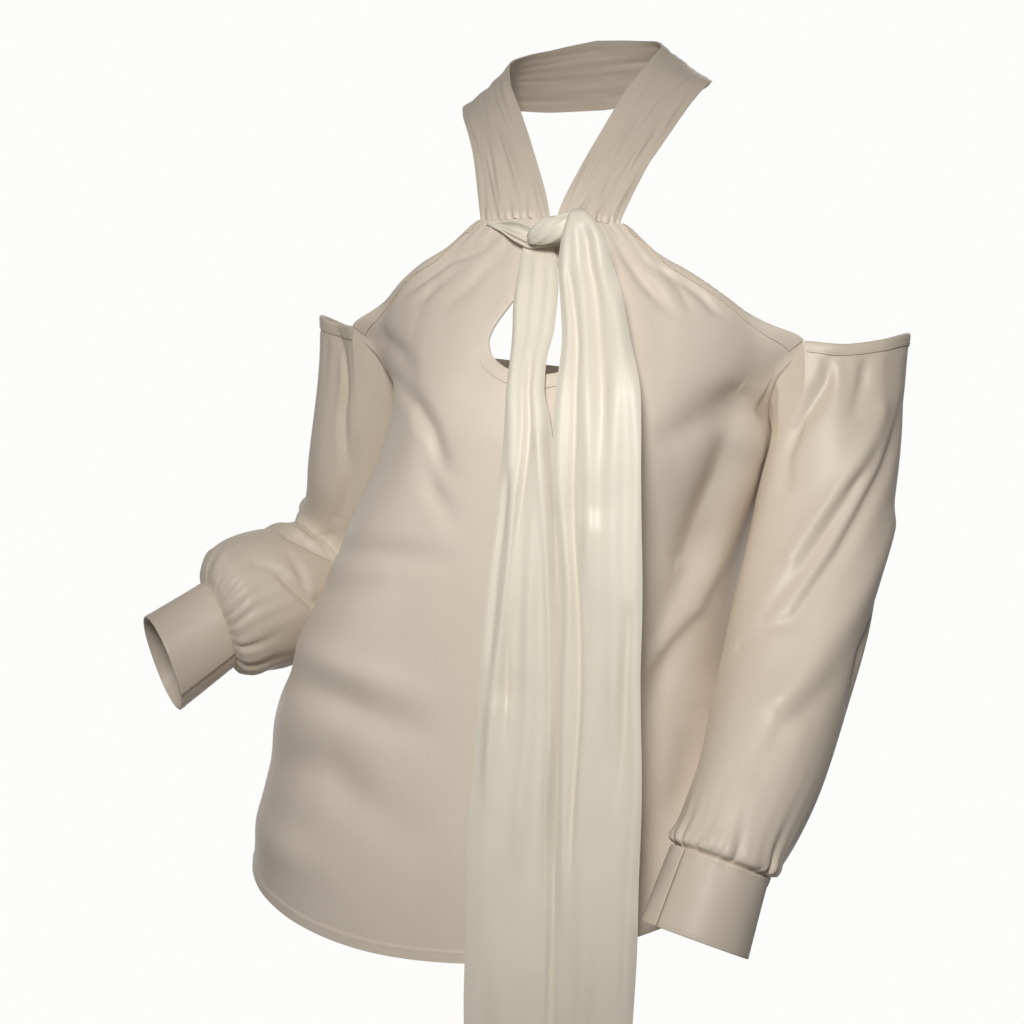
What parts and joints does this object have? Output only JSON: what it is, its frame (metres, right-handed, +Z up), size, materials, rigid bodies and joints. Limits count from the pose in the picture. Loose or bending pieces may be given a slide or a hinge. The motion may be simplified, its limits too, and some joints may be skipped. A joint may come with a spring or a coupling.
{
  "type": "halter neck blouse",
  "caption": "Satin halter blouse in worn shape with cold shoulders, full cuffed sleeves, a front keyhole, a sash tied at the neck and a curved shirt-tail hem.",
  "frame": {"origin": "inner face of the neck band at the middle of the nape, where the wearer holds the blouse up", "axes": "+Z up, -Y out of the front, +X to the wearer's left"},
  "size_m": [0.5879, 0.3343, 0.7759],
  "materials": {
    "body_satin": "soft satin, warm ivory",
    "sleeve_satin": "soft satin, a little darker ivory",
    "sash_satin": "soft satin, bright cream"
  },
  "bodies": {
    "root": {"front": "body_satin", "back": "body_satin", "front_binding_left": "body_satin", "front_binding_right": "body_satin", "back_binding": "body_satin", "keyhole_binding": "body_satin", "neck_band": "sleeve_satin", "sleeve_left": "sleeve_satin", "sleeve_right": "sleeve_satin", "arm_band_left": "sleeve_satin", "arm_band_right": "sleeve_satin", "cuff_left": "sleeve_satin", "cuff_right": "sleeve_satin", "sash_tail_left": "sash_satin", "sash_tail_right": "sash_satin", "knot_band": "sash_satin", "knot_roll": "sash_satin"}
  },
  "joints": []
}
